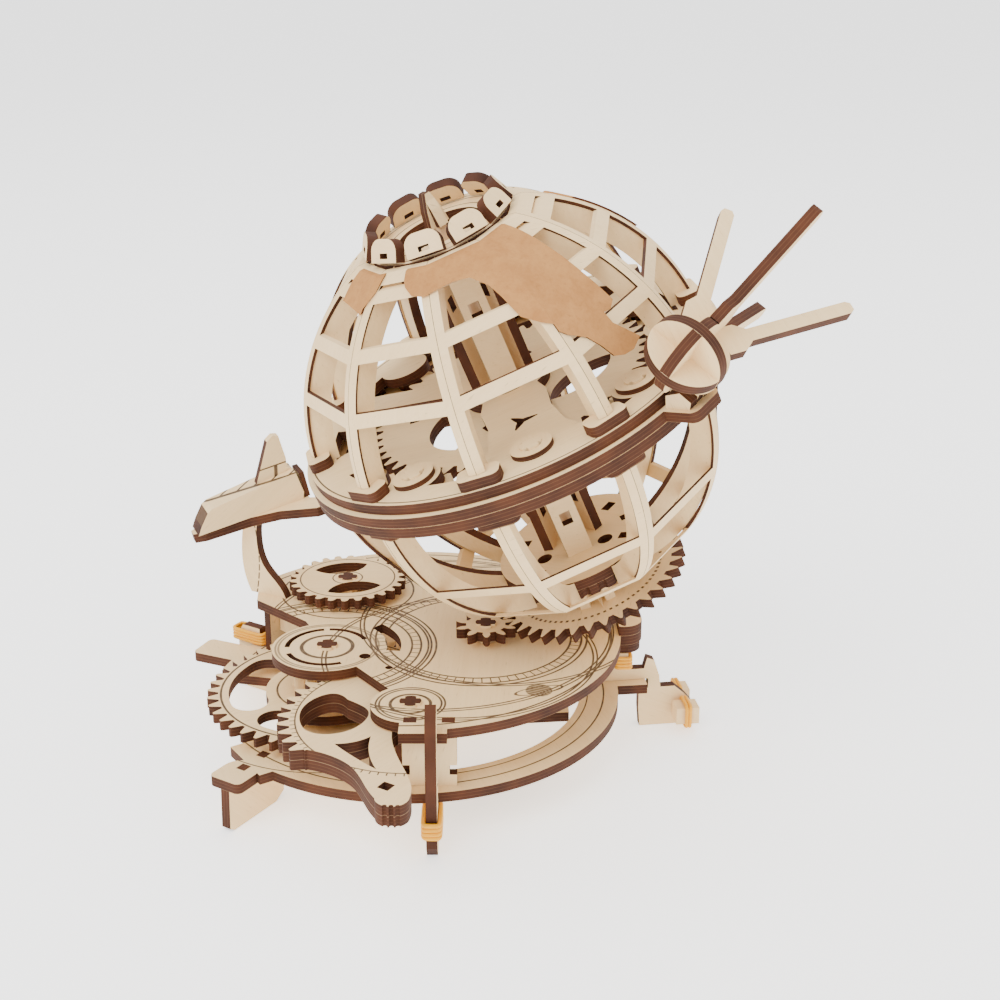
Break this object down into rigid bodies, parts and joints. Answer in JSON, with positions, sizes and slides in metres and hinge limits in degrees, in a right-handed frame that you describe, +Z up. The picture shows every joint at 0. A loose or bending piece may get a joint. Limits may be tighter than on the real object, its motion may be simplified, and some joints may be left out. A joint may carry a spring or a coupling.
{
  "type": "mechanical globe orrery",
  "caption": "Plywood kit orrery: a gridded globe on a tilted mast, with an orbiting satellite ring, a geared two-plate base, a winding lever and a small shuttle on a stand.",
  "frame": {"origin": "centre of the bounding box on the table surface", "axes": "+X to the right along the longest side, +Y away from the front, +Z up"},
  "size_m": [0.2118, 0.1754, 0.1937],
  "materials": {
    "birch_ply": "sanded birch ply, laser-burnt edges",
    "skin_sheet": "thin flexible ply sheet",
    "land_sheet": "brown kraft sheet",
    "dowel": "turned beech dowel",
    "rubber_band": "amber rubber"
  },
  "bodies": {
    "root": {"base_ring": "birch_ply", "dial_plate": "birch_ply", "foot_blades": "birch_ply", "left_foot": "birch_ply", "right_bracket": "birch_ply", "right_cap_plates": "birch_ply", "right_blocks": "birch_ply", "fixed_axles": "birch_ply", "lever_spacer": "birch_ply", "plate_posts": "birch_ply", "box_panels": "birch_ply", "rubber_bands": "rubber_band", "mast": "dowel", "mast_collar": "birch_ply", "axis_wedges": "birch_ply", "pole_finial": "birch_ply", "sun_gear": "birch_ply", "shuttle_stand": "birch_ply", "shuttle_wing": "birch_ply", "shuttle_body": "birch_ply", "shuttle_engines": "birch_ply"},
    "globe": {"north_plate": "birch_ply", "south_plate": "birch_ply", "plate_pillars": "birch_ply", "bearing_washers": "birch_ply", "north_ribs": "birch_ply", "south_ribs": "birch_ply", "rib_clips": "birch_ply", "north_skin": "skin_sheet", "south_skin": "skin_sheet", "land_sheets": "land_sheet", "pole_cap": "birch_ply", "pole_star": "birch_ply", "pole_keys": "birch_ply", "mast_strips": "birch_ply", "rib_disc": "birch_ply", "toothed_disc": "birch_ply", "gear_hub": "birch_ply", "hub_pegs": "birch_ply", "gear_pointer": "birch_ply", "tilted_gear": "birch_ply"},
    "satellite": {"satellite_ring": "birch_ply", "satellite_arm": "birch_ply", "satellite_disc_a": "birch_ply", "satellite_disc_b": "birch_ply"},
    "drive": {"drive_gear": "birch_ply", "drive_axle": "birch_ply", "dial_pinion": "birch_ply"},
    "side_wheel": {"side_gear": "birch_ply", "side_gear_hub": "birch_ply"},
    "moon": {"moon_wheel": "birch_ply", "moon_axle": "birch_ply", "moon_pinion": "birch_ply"},
    "lever": {"lever_lower_ply": "birch_ply", "lever_upper_ply": "birch_ply"},
    "winding": {"winding_pinion": "birch_ply"},
    "planet_1": {"planet_gear_1": "birch_ply"},
    "planet_2": {"planet_gear_2": "birch_ply"},
    "planet_3": {"planet_gear_3": "birch_ply"},
    "planet_4": {"planet_gear_4": "birch_ply"}
  },
  "joints": [
    {"name": "globe_spin", "type": "hinge", "parent": "root", "child": "globe", "pos_m": [0.00804, 0.0148, 0.12068], "axis": [-0.3687, -0.1342, 0.9198], "continuous": true},
    {"name": "satellite_orbit", "type": "hinge", "parent": "root", "child": "satellite", "pos_m": [0.00804, 0.0148, 0.12068], "axis": [-0.3687, -0.1342, 0.9198], "continuous": true},
    {"name": "drive_spin", "type": "hinge", "parent": "root", "child": "drive", "pos_m": [-0.00148, 0.01133, 0.02], "axis": [0, 0, 1], "continuous": true},
    {"name": "side_spin", "type": "hinge", "parent": "root", "child": "side_wheel", "pos_m": [-0.05371, 0.00603, 0.02], "axis": [0, 0, 1], "continuous": true},
    {"name": "moon_spin", "type": "hinge", "parent": "root", "child": "moon", "pos_m": [-0.05069, 0.05143, 0.02], "axis": [0, 0, 1], "continuous": true},
    {"name": "lever_swing", "type": "hinge", "parent": "root", "child": "lever", "pos_m": [-0.02425, -0.03422, 0.03], "axis": [0, 0, 1], "range_deg": [-45, 0]},
    {"name": "winding_spin", "type": "hinge", "parent": "root", "child": "winding", "pos_m": [-0.05371, 0.00603, 0.03], "axis": [0, 0, 1], "range_deg": [-1, 170]},
    {"name": "planet_1_spin", "type": "hinge", "parent": "globe", "child": "planet_1", "pos_m": [-0.0185, -0.02933, 0.1036], "axis": [-0.3687, -0.1342, 0.9198], "continuous": true},
    {"name": "planet_2_spin", "type": "hinge", "parent": "globe", "child": "planet_2", "pos_m": [0.01583, -0.03869, 0.116], "axis": [-0.3687, -0.1342, 0.9198], "continuous": true},
    {"name": "planet_3_spin", "type": "hinge", "parent": "globe", "child": "planet_3", "pos_m": [0.0464, -0.02224, 0.13065], "axis": [-0.3687, -0.1342, 0.9198], "continuous": true},
    {"name": "planet_4_spin", "type": "hinge", "parent": "globe", "child": "planet_4", "pos_m": [0.00025, 0.06828, 0.12536], "axis": [-0.3687, -0.1342, 0.9198], "continuous": true}
  ],
  "couplings": [
    {"joint": "satellite_orbit", "follows": "globe_spin", "ratio": 1.7222},
    {"joint": "drive_spin", "follows": "globe_spin", "ratio": -3.6},
    {"joint": "side_spin", "follows": "globe_spin", "ratio": 1.3091},
    {"joint": "moon_spin", "follows": "globe_spin", "ratio": -7.2},
    {"joint": "winding_spin", "follows": "lever_swing", "ratio": -3.75},
    {"joint": "planet_1_spin", "follows": "globe_spin", "ratio": 5.2},
    {"joint": "planet_2_spin", "follows": "globe_spin", "ratio": 5.2},
    {"joint": "planet_3_spin", "follows": "globe_spin", "ratio": 5.2},
    {"joint": "planet_4_spin", "follows": "globe_spin", "ratio": 5.2}
  ]
}
